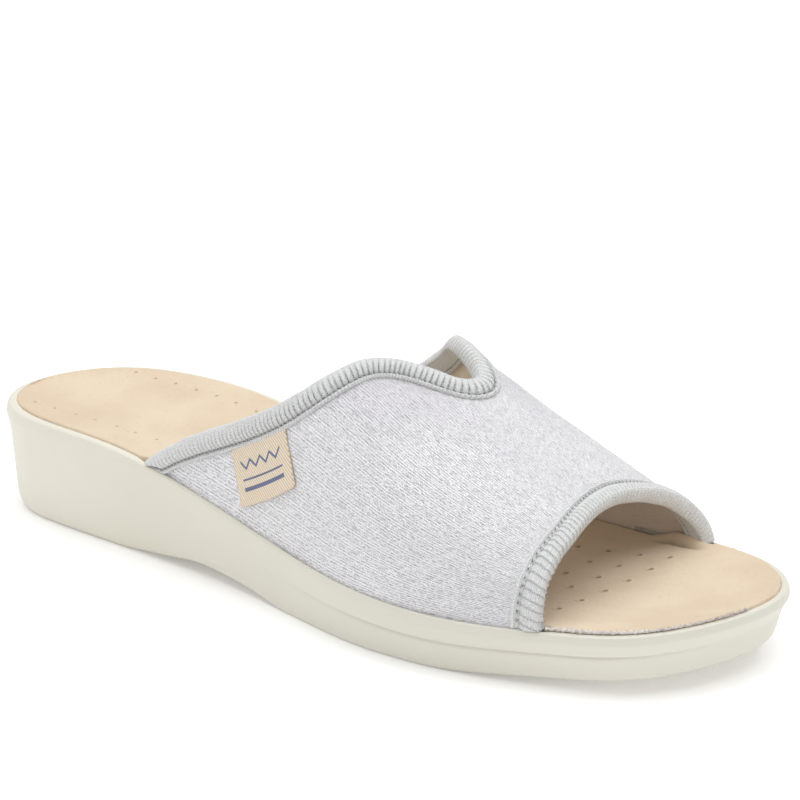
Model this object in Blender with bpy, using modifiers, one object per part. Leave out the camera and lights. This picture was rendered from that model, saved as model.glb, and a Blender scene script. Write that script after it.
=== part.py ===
"""A right-foot open-toe mule sandal, built the way the real one is put together.

A moulded wedge sole, an insole bedded in it, a fabric upper that stands between the two,
a ribbed binding folded over the collar, another round the toe opening, and a sewn label.
Tables and sizes are in millimetres, measured from the back of the heel with +X to the toe
and +Y to the inner side of the foot. Objects are made in metres about the sole's middle.
"""

from collections import namedtuple

import bmesh
import bpy
import numpy as np

MM = 0.001

# The sole in plan: its lateral and medial edges.
SOLE_LENGTH = 251.0
HEEL_BACK_Y = -3.3
TOE_TIP_Y = 7.4
SoleSection = namedtuple("SoleSection", "x lateral medial")
SOLE_SECTIONS = (
    SoleSection(12.0, -21.4, 22.7),
    SoleSection(40.0, -27.4, 31.7),
    SoleSection(80.0, -30.8, 31.5),
    SoleSection(115.0, -36.3, 30.5),
    SoleSection(150.0, -45.0, 38.4),
    SoleSection(182.0, -44.9, 41.5),
    SoleSection(212.0, -38.3, 38.3),
    SoleSection(236.0, -27.6, 29.9),
)

# The crest of its rim: level round the heel, lowest at the ball, rising again to the toe.
HeightPoint = namedtuple("HeightPoint", "x z")
RIM_LINE = (
    HeightPoint(0.0, 31.7),
    HeightPoint(12.0, 31.7),
    HeightPoint(40.0, 31.6),
    HeightPoint(60.0, 30.5),
    HeightPoint(80.0, 26.9),
    HeightPoint(115.0, 20.4),
    HeightPoint(150.0, 17.5),
    HeightPoint(182.0, 16.2),
    HeightPoint(212.0, 17.2),
    HeightPoint(236.0, 18.9),
    HeightPoint(251.0, 20.2),
)

# The underside: flat under the heel and the ball, raised at the waist, sprung at the toe.
GROUND_LINE = (
    HeightPoint(0.0, 1.6),
    HeightPoint(12.0, 0.0),
    HeightPoint(52.0, 0.0),
    HeightPoint(70.0, 1.6),
    HeightPoint(86.0, 3.4),
    HeightPoint(105.0, 2.2),
    HeightPoint(122.0, 0.0),
    HeightPoint(140.0, 0.0),
    HeightPoint(172.0, 0.0),
    HeightPoint(205.0, 2.5),
    HeightPoint(230.0, 4.9),
    HeightPoint(251.0, 7.0),
)

# The sole's side from the ground up: share of its height, and how far in from the outline it
# stands at the heel's back, along the heel, at the waist and along the forefoot. The heel's back
# swells a little past the outline, and the forefoot has a creased band round it.
SideRow = namedtuple("SideRow", "share back heel waist forefoot")
SIDE_PROFILE = (
    SideRow(0.00, 3.60, 4.90, 3.2, 5.0),
    SideRow(0.04, 2.10, 3.70, 2.4, 4.1),
    SideRow(0.12, 1.15, 2.80, 2.0, 3.6),
    SideRow(0.34, 0.70, 1.70, 1.5, 2.7),
    SideRow(0.50, 0.45, 1.10, 1.3, 2.0),
    SideRow(0.55, 0.30, 0.95, 1.2, 2.2),
    SideRow(0.58, 0.25, 0.85, 1.1, 1.4),
    SideRow(0.74, 0.00, 0.50, 0.6, 0.4),
    SideRow(0.84, -0.60, 0.30, 0.2, 0.0),
    SideRow(0.90, -1.00, 0.15, 0.0, 0.1),
    SideRow(0.97, -0.50, 0.20, 0.2, 0.4),
)
BACK_ENDS_X = 5.0
HEEL_STARTS_X = 26.0
HEEL_ENDS_X = 62.0
WAIST_X = 112.0
FOREFOOT_STARTS_X = 165.0

# The bed that the insole and the upper's foot stand in. Its wall follows the upper's foot, and
# stands further in at the heel and the toe, where the rim is rounder.
BED_INSET_UPPER = 1.3
BED_INSET_FREE = 2.3
BED_DEPTH = 2.8
RIM_CREST = 0.3
DishPoint = namedtuple("DishPoint", "x depth")
BED_DISH = (
    DishPoint(0.0, 0.4),
    DishPoint(36.0, 2.2),
    DishPoint(95.0, 1.0),
    DishPoint(165.0, 1.5),
    DishPoint(225.0, 1.4),
    DishPoint(251.0, 0.5),
)
GAP = 0.3

# The insole lies out to the rim at heel and toe, and inside the upper's wall between them.
INSOLE_THICKNESS = 3.0
INSOLE_EDGE_ROUND = 0.7
INSOLE_INSET_UPPER = 4.2
INSOLE_INSET_FREE = BED_INSET_FREE + GAP
STEP_LENGTH = 6.0

# The upper: crown height, where the ridge runs, and how full each flank is, section by section.
WALL = 2.0
UPPER_INSET = BED_INSET_UPPER + GAP
UpperSection = namedtuple("UpperSection", "x crown ridge lateral_fullness medial_fullness")
UPPER_SECTIONS = (
    UpperSection(60.0, 92.0, 5.0, 0.68, 0.54),
    UpperSection(100.0, 84.5, 4.8, 0.68, 0.55),
    UpperSection(135.0, 74.2, 4.4, 0.68, 0.56),
    UpperSection(165.0, 58.4, 3.2, 0.68, 0.58),
    UpperSection(190.0, 44.8, 1.8, 0.68, 0.60),
    UpperSection(215.0, 32.5, 0.8, 0.68, 0.61),
)

# Where the upper's cloth ends, by place across the section: 0 is the foot of a flank, 1 the ridge.
# The band is how far the binding runs in from the edge there.
EdgePoint = namedtuple("EdgePoint", "across lateral_x medial_x band")
COLLAR_EDGE = (
    EdgePoint(0.00, 69.0, 77.0, 3.0),
    EdgePoint(0.10, 82.8, 90.5, 3.9),
    EdgePoint(0.22, 101.0, 107.5, 4.4),
    EdgePoint(0.36, 117.8, 122.0, 4.5),
    EdgePoint(0.50, 127.9, 131.8, 4.4),
    EdgePoint(0.63, 134.3, 137.7, 4.1),
    EdgePoint(0.75, 139.8, 143.8, 3.7),
    EdgePoint(0.86, 147.6, 152.8, 3.7),
    EdgePoint(0.94, 155.8, 158.4, 4.0),
    EdgePoint(1.00, 159.5, 159.5, 4.0),
)
TOE_EDGE = (
    EdgePoint(0.00, 207.0, 210.2, 5.5),
    EdgePoint(0.25, 206.3, 207.8, 4.4),
    EdgePoint(0.50, 205.2, 205.0, 3.7),
    EdgePoint(0.75, 203.8, 202.9, 3.4),
    EdgePoint(1.00, 201.5, 201.5, 3.4),
)

# The bindings: a ribbed tape folded over the cloth's edge, stitched close to its lower fold.
BINDING_THICKNESS = 1.2
LIP = 1.6
INNER_LEG = 5.4
BINDING_CLEAR_OF_RIM = 0.8

# The label hangs from under the collar binding on the lateral side.
LABEL_ACROSS = 0.284
LABEL_WIDTH = 21.5
LABEL_DROP = 15.5
LABEL_THICKNESS = 0.6

# How finely the pieces are divided.
OUTLINE_SPANS = 44
BED_SPANS = 8
UPPER_ROWS = 29
UPPER_COLUMNS = 12
COLLAR_STEPS = 54
TOE_STEPS = 32
LABEL_STEPS = 6
TURN_WEIGHT = 12.0

COLOURS = {
    "sole": (0.745, 0.715, 0.61),
    "insole": (0.80, 0.66, 0.48),
    "upper": (0.68, 0.68, 0.70),
    "binding": (0.60, 0.61, 0.60),
    "label": (0.74, 0.60, 0.45),
}
ROUGHNESS = {"sole": 0.45, "insole": 0.75, "upper": 0.85, "binding": 0.8, "label": 0.7}


def natural_cubic(xs, ys):
    """A smooth curve through the rows of a table, as a function of x."""
    xs, ys = np.asarray(xs, float), np.asarray(ys, float)
    step = np.diff(xs)
    system, right = np.eye(len(xs)), np.zeros(len(xs))
    for i in range(1, len(xs) - 1):
        system[i, i - 1 : i + 2] = step[i - 1], 2 * (step[i - 1] + step[i]), step[i]
        right[i] = 6 * ((ys[i + 1] - ys[i]) / step[i] - (ys[i] - ys[i - 1]) / step[i - 1])
    bend = np.linalg.solve(system, right)

    def curve(x):
        i = np.clip(np.searchsorted(xs, x) - 1, 0, len(xs) - 2)
        before, after, h = x - xs[i], xs[i + 1] - x, step[i]
        return (
            (bend[i] * after**3 + bend[i + 1] * before**3) / (6 * h)
            + (ys[i] / h - bend[i] * h / 6) * after
            + (ys[i + 1] / h - bend[i + 1] * h / 6) * before
        )

    return curve


def level_cubic(xs, ys):
    """A curve through a table's rows that never overshoots them, so equal rows stay flat."""
    xs, ys = np.asarray(xs, float), np.asarray(ys, float)
    step, slope = np.diff(xs), np.diff(ys) / np.diff(xs)
    tangent = np.zeros(len(xs))
    tangent[0], tangent[-1] = slope[0], slope[-1]
    for i in range(1, len(xs) - 1):
        if slope[i - 1] * slope[i] > 0:
            first, second = 2 * step[i] + step[i - 1], step[i] + 2 * step[i - 1]
            tangent[i] = (first + second) / (first / slope[i - 1] + second / slope[i])

    def curve(x):
        i = np.clip(np.searchsorted(xs, x) - 1, 0, len(xs) - 2)
        h = step[i]
        t = np.clip((x - xs[i]) / h, 0, 1)
        rise = t * t * (3 - 2 * t)
        return (
            ys[i]
            + rise * (ys[i + 1] - ys[i])
            + h * ((t**3 - 2 * t**2 + t) * tangent[i] + (t**3 - t**2) * tangent[i + 1])
        )

    return curve


def closed_curve(points, per_span):
    """A smooth closed plan curve through the points, densely sampled."""
    count = len(points)
    after = np.roll(points, -1, axis=0)
    chord = np.sqrt(np.linalg.norm(after - points, axis=1))
    system, right = np.zeros((count, count)), np.zeros((count, 2))
    for i in range(count):
        a, b = chord[i - 1], chord[i]
        system[i, i - 1] += b
        system[i, i] += 2 * (a + b)
        system[i, (i + 1) % count] += a
        right[i] = 3 * (b * (points[i] - points[i - 1]) / a + a * (after[i] - points[i]) / b)
    tangent = np.linalg.solve(system, right)
    t = np.arange(per_span)[:, None] / per_span
    rise = t * t * (3 - 2 * t)
    spans = [
        points[i]
        + rise * (after[i] - points[i])
        + chord[i] * (t**3 - 2 * t**2 + t) * tangent[i]
        + chord[i] * (t**3 - t**2) * tangent[(i + 1) % count]
        for i in range(count)
    ]
    return np.vstack(spans)


def resampled(chain, count):
    """The chain of points at equal distances along it."""
    along = np.concatenate([[0], np.cumsum(np.linalg.norm(np.diff(chain, axis=0), axis=1))])
    at = np.linspace(0, along[-1], count + 1)
    return np.column_stack([np.interp(at, along, chain[:, axis]) for axis in (0, 1)])


def sole_outline():
    """The sole in plan from the heel's back along the lateral side to the toe and back along
    the medial side, with each lateral point facing a medial one."""
    lateral = [(s.x, s.lateral) for s in SOLE_SECTIONS]
    medial = [(s.x, s.medial) for s in reversed(SOLE_SECTIONS)]
    through = [(0.0, HEEL_BACK_Y), *lateral, (SOLE_LENGTH, TOE_TIP_Y), *medial]
    dense = closed_curve(np.array(through), 40)
    dense = np.roll(dense, -dense[:, 0].argmin(), axis=0)
    toe = dense[:, 0].argmax()
    outer = resampled(dense[: toe + 1], OUTLINE_SPANS)
    inner = resampled(np.vstack([dense[toe:], dense[:1]]), OUTLINE_SPANS)
    return np.vstack([outer[:-1], inner[:-1]])


OUTLINE = sole_outline()
HEEL_SWELL = min(row.back for row in SIDE_PROFILE)
CENTRE = (OUTLINE.min(axis=0) + (HEEL_SWELL, 0.0) + OUTLINE.max(axis=0)) / 2
rim_height = natural_cubic([p.x for p in RIM_LINE], [p.z for p in RIM_LINE])
ground_height = level_cubic([p.x for p in GROUND_LINE], [p.z for p in GROUND_LINE])
dish_depth = natural_cubic([p.x for p in BED_DISH], [p.depth for p in BED_DISH])


def inward(inset):
    """The outline moved towards the inside of the sole, by one distance or one for each point."""
    along = np.roll(OUTLINE, -1, axis=0) - np.roll(OUTLINE, 1, axis=0)
    normal = np.column_stack([-along[:, 1], along[:, 0]])
    normal /= np.linalg.norm(normal, axis=1)[:, None]
    return OUTLINE + normal * np.broadcast_to(inset, len(OUTLINE))[:, None]


def bed_height(x, across):
    """The bed under the insole: 0 and 1 across are its two edges, and it is dished between."""
    return rim_height(x) - BED_DEPTH - dish_depth(x) * 4 * across * (1 - across)


def points_of(plan, heights):
    return np.column_stack([plan, np.broadcast_to(heights, len(plan))])


def to_part(point):
    """A point of the tables in the part's own frame, in metres."""
    return (
        (point[0] - CENTRE[0]) * MM,
        (point[1] - CENTRE[1]) * MM,
        point[2] * MM,
    )


def add_row(bm, points):
    return [bm.verts.new(to_part(p)) for p in points]


def skin(bm, first, second, closed):
    """Quads between two rows of vertices of the same length."""
    count = len(first)
    for i in range(count if closed else count - 1):
        j = (i + 1) % count
        bm.faces.new((first[i], first[j], second[j], second[i]))


def cap(bm, ring, plan, height):
    """Fills a closed ring: strips run from each lateral point to the medial point facing it."""
    count = len(ring)
    rows = []
    for i in range(1, OUTLINE_SPANS):
        near, far = plan[i], plan[count - i]
        inner = []
        for k in range(1, BED_SPANS):
            share = k / BED_SPANS
            x, y = near + (far - near) * share
            inner.append((x, y, height(x, share)))
        rows.append([ring[i], *add_row(bm, inner), ring[count - i]])
    for row, following in zip(rows, rows[1:]):
        skin(bm, row, following, closed=False)
    for tip, row in ((ring[0], rows[0]), (ring[OUTLINE_SPANS], rows[-1])):
        for a, b in zip(row, row[1:]):
            bm.faces.new((tip, a, b))


def new_piece(name, bm, kind, collection):
    """Makes the object of a sub-part from its mesh, with its own material."""
    bmesh.ops.recalc_face_normals(bm, faces=bm.faces)
    mesh = bpy.data.meshes.new(name)
    bm.to_mesh(mesh)
    bm.free()
    mesh.shade_smooth()
    mesh.set_sharp_from_angle(angle=np.radians(40))
    material = bpy.data.materials.new(name)
    material.use_nodes = True
    shader = material.node_tree.nodes["Principled BSDF"]
    shader.inputs["Base Color"].default_value = (*COLOURS[kind], 1.0)
    shader.inputs["Roughness"].default_value = ROUGHNESS[kind]
    mesh.materials.append(material)
    piece = bpy.data.objects.new(name, mesh)
    collection.objects.link(piece)
    return piece


def side_inset(row):
    """How far in one row of the side stands, blended along the length of the sole."""
    at = [BACK_ENDS_X, HEEL_STARTS_X, HEEL_ENDS_X, WAIST_X, FOREFOOT_STARTS_X]
    insets = [row.back, row.heel, row.heel, row.waist, row.forefoot]
    return np.interp(OUTLINE[:, 0], at, insets)


def stepped_inset(free, beside_upper):
    """One inset along the upper's feet, stepping to another beyond their ends."""
    back = min(COLLAR_EDGE[0].lateral_x, COLLAR_EDGE[0].medial_x) - BINDING_THICKNESS - LIP
    front = max(TOE_EDGE[0].lateral_x, TOE_EDGE[0].medial_x) + BINDING_THICKNESS + LIP
    at = [back - STEP_LENGTH, back, front, front + STEP_LENGTH]
    return np.interp(OUTLINE[:, 0], at, [free, beside_upper, beside_upper, free])


def build_sole(collection):
    bm = bmesh.new()
    rim, ground = rim_height(OUTLINE[:, 0]), ground_height(OUTLINE[:, 0])
    edge = inward(side_inset(SIDE_PROFILE[0]))
    plans, heights = [edge], [ground_height(edge[:, 0])]
    for row in SIDE_PROFILE[1:]:
        plans.append(inward(side_inset(row)))
        heights.append(ground + (rim - ground) * row.share)
    bed_inset = stepped_inset(BED_INSET_FREE, BED_INSET_UPPER)
    crest, bed = inward(bed_inset - RIM_CREST), inward(bed_inset)
    plans += [crest, bed, bed]
    heights += [rim, rim_height(bed[:, 0]) - 0.1, bed_height(bed[:, 0], 0.0)]
    rings = [add_row(bm, points_of(p, h)) for p, h in zip(plans, heights)]
    for ring, above in zip(rings, rings[1:]):
        skin(bm, ring, above, closed=True)
    cap(bm, rings[0], edge, lambda x, across: ground_height(x))
    cap(bm, rings[-1], bed, bed_height)
    return new_piece("sole", bm, "sole", collection)


def build_insole(collection):
    bm = bmesh.new()
    inset = stepped_inset(INSOLE_INSET_FREE, INSOLE_INSET_UPPER)
    edge, top_edge = inward(inset), inward(inset + INSOLE_EDGE_ROUND)
    foot = bed_height(edge[:, 0], 0.0) + GAP
    rows = (
        (edge, foot),
        (edge, foot + INSOLE_THICKNESS - INSOLE_EDGE_ROUND),
        (top_edge, bed_height(top_edge[:, 0], 0.0) + GAP + INSOLE_THICKNESS),
    )
    rings = [add_row(bm, points_of(plan, z)) for plan, z in rows]
    for ring, above in zip(rings, rings[1:]):
        skin(bm, ring, above, closed=True)
    cap(bm, rings[0], edge, lambda x, across: bed_height(x, across) + GAP)
    cap(
        bm,
        rings[-1],
        top_edge,
        lambda x, across: bed_height(x, across) + GAP + INSOLE_THICKNESS,
    )
    return new_piece("insole", bm, "insole", collection)


def flank_lines():
    """Where the two flanks of the upper stand, as functions of x."""
    foot = inward(UPPER_INSET)
    lateral = foot[: OUTLINE_SPANS + 1]
    medial = np.vstack([foot[OUTLINE_SPANS:], foot[:1]])[::-1]
    return natural_cubic(lateral[3:-3, 0], lateral[3:-3, 1]), natural_cubic(
        medial[3:-3, 0], medial[3:-3, 1]
    )


lateral_foot, medial_foot = flank_lines()
crown_height, ridge_y, lateral_fullness, medial_fullness = (
    natural_cubic([s.x for s in UPPER_SECTIONS], [getattr(s, column) for s in UPPER_SECTIONS])
    for column in ("crown", "ridge", "lateral_fullness", "medial_fullness")
)


def upper_surface(x, u):
    """The upper's outer face. u runs from 0 at the lateral rim over the ridge at 1 to 2 at the
    medial rim, and on past either end straight down into the bed."""
    lateral = u <= 1
    t = u if lateral else 2 - u
    foot = lateral_foot(x) if lateral else medial_foot(x)
    full = lateral_fullness(x) if lateral else medial_fullness(x)
    rim, crown, ridge = rim_height(x), crown_height(x), ridge_y(x)
    if t < 0:
        return np.array([x, foot, rim + 3 * full * (crown - rim) * t])
    near, next_near, next_far, far = (1 - t) ** 3, 3 * t * (1 - t) ** 2, 3 * t * t * (1 - t), t**3
    y = (near + next_near) * foot + next_far * (ridge + full * (foot - ridge)) + far * ridge
    z = near * rim + next_near * (rim + full * (crown - rim)) + (next_far + far) * crown
    return np.array([x, y, z])


def edge_line(table, lateral, medial):
    """One of an edge's columns as a function of u, from both halves of the table."""
    us = [p.across for p in table] + [2 - p.across for p in table[-2::-1]]
    values = [getattr(p, lateral) for p in table] + [getattr(p, medial) for p in table[-2::-1]]
    return natural_cubic(us, values)


collar_x, toe_x = (edge_line(table, "lateral_x", "medial_x") for table in (COLLAR_EDGE, TOE_EDGE))
collar_band, toe_band = (edge_line(table, "band", "band") for table in (COLLAR_EDGE, TOE_EDGE))


def surface_slopes(x, u):
    dx, du = 0.05, 0.002
    along = (upper_surface(x + dx, u) - upper_surface(x - dx, u)) / (2 * dx)
    across = (upper_surface(x, u + du) - upper_surface(x, u - du)) / (2 * du)
    return along, across


def outward_normal(x, u):
    along, across = surface_slopes(x, u)
    normal = np.cross(along, across)
    return normal / np.linalg.norm(normal)


def walk(x, u, direction, distance):
    """Goes a distance over the upper's face, starting in a direction that lies on it."""
    steps = max(1, int(np.ceil(abs(distance))))
    for _ in range(steps):
        slopes = np.column_stack(surface_slopes(x, u))
        move, *_ = np.linalg.lstsq(slopes, direction * distance / steps, rcond=None)
        x, u = x + move[0], u + move[1]
        normal = outward_normal(x, u)
        direction = direction - normal * (direction @ normal)
        direction /= np.linalg.norm(direction)
    return x, u


def edge_frame(edge, u, inwards):
    """At a place on an edge: x, the direction along the edge, and the one into the cloth."""
    du = 0.003
    x = edge(u)
    along = upper_surface(edge(u + du), u + du) - upper_surface(edge(u - du), u - du)
    along /= np.linalg.norm(along)
    into = np.cross(outward_normal(x, u), along)
    return x, along, into * np.sign(into[0] * inwards)


def build_upper(collection):
    """The cloth from rim to rim as one open sheet, thickened inwards to its wall."""
    bm = bmesh.new()
    foot_drop = BED_DEPTH - GAP
    half = 1 - (1 - np.linspace(0, 1, UPPER_ROWS)) ** 1.25
    rows = []

    def add_flank_foot(u):
        columns = np.linspace(collar_x(u), toe_x(u), UPPER_COLUMNS + 1)
        points = np.array([upper_surface(x, u) for x in columns])
        rows.append(add_row(bm, points - (0, 0, foot_drop)))

    add_flank_foot(0.0)
    for u in [*half, *(2 - half[-2::-1])]:
        columns = np.linspace(collar_x(u), toe_x(u), UPPER_COLUMNS + 1)
        rows.append(add_row(bm, [upper_surface(x, u) for x in columns]))
    add_flank_foot(2.0)
    for row, following in zip(rows, rows[1:]):
        skin(bm, row, following, closed=False)
    upper = new_piece("upper", bm, "upper", collection)
    middle = upper.data.polygons[len(upper.data.polygons) // 2]
    if middle.normal.z < 0:
        upper.data.flip_normals()
    wall = upper.modifiers.new("wall", "SOLIDIFY")
    wall.thickness = WALL * MM
    wall.offset = -1.0
    wall.use_even_offset = True
    return upper


def binding_profile(band):
    """The folded tape's section: distance in from the cloth's edge, and height off its face."""
    under, back = GAP, -WALL - GAP
    top, nose = under + BINDING_THICKNESS, -GAP - BINDING_THICKNESS
    lip_end = band + LIP
    return (
        (lip_end, under),
        (lip_end, under + 0.7),
        (band + 0.75 * LIP, under + 0.95),
        (band, under + 0.4),
        (band - 0.8, top - 0.15),
        (band / 2, top + 0.15),
        (0.4, top - 0.05),
        (nose + 0.5, under + 0.3),
        (nose, -WALL / 2),
        (nose + 0.5, back - 0.3),
        (0.4, back - 0.8),
        (INNER_LEG, back - 0.8),
        (INNER_LEG, back),
        (-GAP, back),
        (-GAP, under),
        (band / 2, under),
    )


def clear_width(x, u, into, wanted):
    """How far the tape can run in from the edge before it would meet the sole's rim."""
    width, step = 0.0, 0.5
    while width < wanted:
        nx, nu = walk(x, u, into, width + step)
        if upper_surface(nx, nu)[2] < rim_height(nx) + BINDING_CLEAR_OF_RIM:
            break
        width += step
    return min(max(width, step), wanted)


def binding_ends(edge):
    """The places along an edge, one on each flank, where it clears the rim."""
    ends = []
    for us in (np.linspace(0, 0.5, 201), np.linspace(2, 1.5, 201)):
        clear = [
            u for u in us if upper_surface(edge(u), u)[2] > rim_height(edge(u)) + BINDING_CLEAR_OF_RIM
        ]
        ends.append(clear[0])
    return ends


def places_along(edge, start, end, steps):
    """Places along an edge, closer together where it turns."""
    us = np.linspace(start, end, 600)
    legs = np.diff([upper_surface(edge(u), u) for u in us], axis=0)
    lengths = np.linalg.norm(legs, axis=1)
    heading = legs / lengths[:, None]
    turn = np.linalg.norm(np.diff(heading, axis=0, prepend=heading[:1]), axis=1)
    along = np.concatenate([[0], np.cumsum(lengths + TURN_WEIGHT * turn)])
    return np.interp(np.linspace(0, along[-1], steps + 1), along, us)


def build_binding(name, edge, band, inwards, steps, collection):
    """Sweeps the folded tape along an edge of the upper."""
    bm = bmesh.new()
    rings = []
    for u in places_along(edge, *binding_ends(edge), steps):
        x, _, into = edge_frame(edge, u, inwards)
        width = band(u) + LIP
        narrowed = clear_width(x, u, into, width) / width
        points = []
        for inset, height in binding_profile(band(u)):
            at = walk(x, u, into, inset * narrowed if inset > 0 else inset)
            points.append(upper_surface(*at) + outward_normal(*at) * height)
        rings.append(add_row(bm, points))
    for ring, following in zip(rings, rings[1:]):
        skin(bm, ring, following, closed=True)
    bm.faces.new(rings[0])
    bm.faces.new(rings[-1])
    return new_piece(name, bm, "binding", collection)


def build_label(collection):
    """A piece of woven tape laid on the cloth, its top edge following the collar binding's."""
    bm = bmesh.new()
    _, _, down = edge_frame(collar_x, LABEL_ACROSS, 1)
    lift = GAP + LABEL_THICKNESS
    us = np.linspace(LABEL_ACROSS - 0.2, LABEL_ACROSS + 0.2, 200)
    legs = np.diff([upper_surface(collar_x(u), u) for u in us], axis=0)
    along = np.concatenate([[0], np.cumsum(np.linalg.norm(legs, axis=1))])
    along -= np.interp(LABEL_ACROSS, us, along)
    rows = []
    for share in np.linspace(-0.5, 0.5, LABEL_STEPS + 1):
        u = np.interp(share * LABEL_WIDTH, along, us)
        x, _, into = edge_frame(collar_x, u, 1)
        top = walk(x, u, into, collar_band(u) + LIP + GAP)
        normal = outward_normal(*top)
        side = down - normal * (down @ normal)
        side /= np.linalg.norm(side)
        drops = np.linspace(0, LABEL_DROP, LABEL_STEPS + 1)
        places = [walk(*top, side, drop) for drop in drops]
        rows.append(add_row(bm, [upper_surface(*at) + outward_normal(*at) * lift for at in places]))
    for row, following in zip(rows, rows[1:]):
        skin(bm, row, following, closed=False)
    label = new_piece("label", bm, "label", collection)
    if label.data.polygons[0].normal.y > 0:
        label.data.flip_normals()
    tape = label.modifiers.new("tape", "SOLIDIFY")
    tape.thickness = LABEL_THICKNESS * MM
    tape.offset = -1.0
    return label


def main():
    for old in list(bpy.data.objects):
        bpy.data.objects.remove(old)
    collection = bpy.data.collections.new("Mule sandal")
    bpy.context.scene.collection.children.link(collection)
    build_sole(collection)
    build_insole(collection)
    build_upper(collection)
    build_binding("collar_binding", collar_x, collar_band, 1, COLLAR_STEPS, collection)
    build_binding("toe_binding", toe_x, toe_band, -1, TOE_STEPS, collection)
    build_label(collection)


main()
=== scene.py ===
import math

import bmesh
import bpy
import numpy as np
from mathutils import Matrix


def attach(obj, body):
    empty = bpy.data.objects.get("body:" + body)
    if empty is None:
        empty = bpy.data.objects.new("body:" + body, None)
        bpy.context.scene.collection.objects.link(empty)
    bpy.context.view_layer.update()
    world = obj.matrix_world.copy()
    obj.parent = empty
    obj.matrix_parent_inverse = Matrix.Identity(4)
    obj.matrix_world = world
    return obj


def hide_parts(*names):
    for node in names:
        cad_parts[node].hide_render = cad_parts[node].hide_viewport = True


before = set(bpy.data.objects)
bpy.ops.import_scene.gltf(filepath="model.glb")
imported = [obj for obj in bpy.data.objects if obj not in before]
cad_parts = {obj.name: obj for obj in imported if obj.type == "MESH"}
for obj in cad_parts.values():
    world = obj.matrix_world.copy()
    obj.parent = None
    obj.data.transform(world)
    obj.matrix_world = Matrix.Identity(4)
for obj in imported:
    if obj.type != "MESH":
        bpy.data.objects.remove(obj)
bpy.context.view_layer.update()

mm = 0.001
chance = np.random.default_rng(7)

# the last that every piece is laid on, in millimetres from the back of the heel
last = {
    "heelBack": (0.0, -3.3),
    "toeTip": (251.0, 7.4),
    "swell": 1.0,  # how far the heel's back stands out past the outline
    "x": (12, 40, 80, 115, 150, 182, 212, 236),
    "lateral": (-21.4, -27.4, -30.8, -36.3, -45.0, -44.9, -38.3, -27.6),
    "medial": (22.7, 31.7, 31.5, 30.5, 38.4, 41.5, 38.3, 29.9),
    "rimX": (0, 12, 40, 60, 80, 115, 150, 182, 212, 236, 251),
    "rim": (31.7, 31.7, 31.6, 30.5, 26.9, 20.4, 17.5, 16.2, 17.2, 18.9, 20.2),
    "groundX": (0, 12, 52, 70, 86, 105, 122, 140, 172, 205, 230, 251),
    "groundZ": (1.6, 0, 0, 1.6, 3.4, 2.2, 0, 0, 0, 2.5, 4.9, 7.0),
    "dishX": (0, 36, 95, 165, 225, 251),
    "dish": (0.4, 2.2, 1.0, 1.5, 1.4, 0.5),
    "lateralEnds": (64.0, 67.6, 210.0, 212.5),  # where insole and bed step in beside the upper's foot
    "medialEnds": (71.5, 75.4, 212.2, 214.4),
    "half": 190,  # outline points along each side
}


def curveThrough(xs, ys):
    xs, ys = np.asarray(xs, float), np.asarray(ys, float)
    step = np.diff(xs)
    system, right = np.eye(len(xs)), np.zeros(len(xs))
    for i in range(1, len(xs) - 1):
        system[i, i - 1 : i + 2] = step[i - 1], 2 * (step[i - 1] + step[i]), step[i]
        right[i] = 6 * ((ys[i + 1] - ys[i]) / step[i] - (ys[i] - ys[i - 1]) / step[i - 1])
    bend = np.linalg.solve(system, right)

    def curve(x):
        x = np.asarray(x, float)
        i = np.clip(np.searchsorted(xs, x) - 1, 0, len(xs) - 2)
        before, after, h = x - xs[i], xs[i + 1] - x, step[i]
        return (
            (bend[i] * after**3 + bend[i + 1] * before**3) / (6 * h)
            + (ys[i] / h - bend[i] * h / 6) * after
            + (ys[i + 1] / h - bend[i + 1] * h / 6) * before
        )

    return curve


def levelCurve(xs, ys):  # never overshoots, so equal rows stay flat
    xs, ys = np.asarray(xs, float), np.asarray(ys, float)
    step, slope = np.diff(xs), np.diff(ys) / np.diff(xs)
    tangent = np.zeros(len(xs))
    tangent[0], tangent[-1] = slope[0], slope[-1]
    for i in range(1, len(xs) - 1):
        if slope[i - 1] * slope[i] > 0:
            first, second = 2 * step[i] + step[i - 1], step[i] + 2 * step[i - 1]
            tangent[i] = (first + second) / (first / slope[i - 1] + second / slope[i])

    def curve(x):
        x = np.asarray(x, float)
        i = np.clip(np.searchsorted(xs, x) - 1, 0, len(xs) - 2)
        h = step[i]
        t = np.clip((x - xs[i]) / h, 0, 1)
        return (
            ys[i]
            + t * t * (3 - 2 * t) * (ys[i + 1] - ys[i])
            + h * ((t**3 - 2 * t**2 + t) * tangent[i] + (t**3 - t**2) * tangent[i + 1])
        )

    return curve


def closedCurve(points, perSpan):
    count = len(points)
    after = np.roll(points, -1, axis=0)
    chord = np.sqrt(np.linalg.norm(after - points, axis=1))
    system, right = np.zeros((count, count)), np.zeros((count, 2))
    for i in range(count):
        a, b = chord[i - 1], chord[i]
        system[i, i - 1] += b
        system[i, i] += 2 * (a + b)
        system[i, (i + 1) % count] += a
        right[i] = 3 * (b * (points[i] - points[i - 1]) / a + a * (after[i] - points[i]) / b)
    tangent = np.linalg.solve(system, right)
    t = np.arange(perSpan)[:, None] / perSpan
    spans = [
        points[i]
        + t * t * (3 - 2 * t) * (after[i] - points[i])
        + chord[i] * (t**3 - 2 * t**2 + t) * tangent[i]
        + chord[i] * (t**3 - t**2) * tangent[(i + 1) % count]
        for i in range(count)
    ]
    return np.vstack(spans)


def lengthsAlong(path):
    legs = np.linalg.norm(np.diff(path, axis=0), axis=1)
    return np.concatenate([[0], np.cumsum(legs)])


def unit(v):
    return v / np.linalg.norm(v, axis=-1, keepdims=True)


def bell(x):
    return np.exp(-(x**2))


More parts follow.
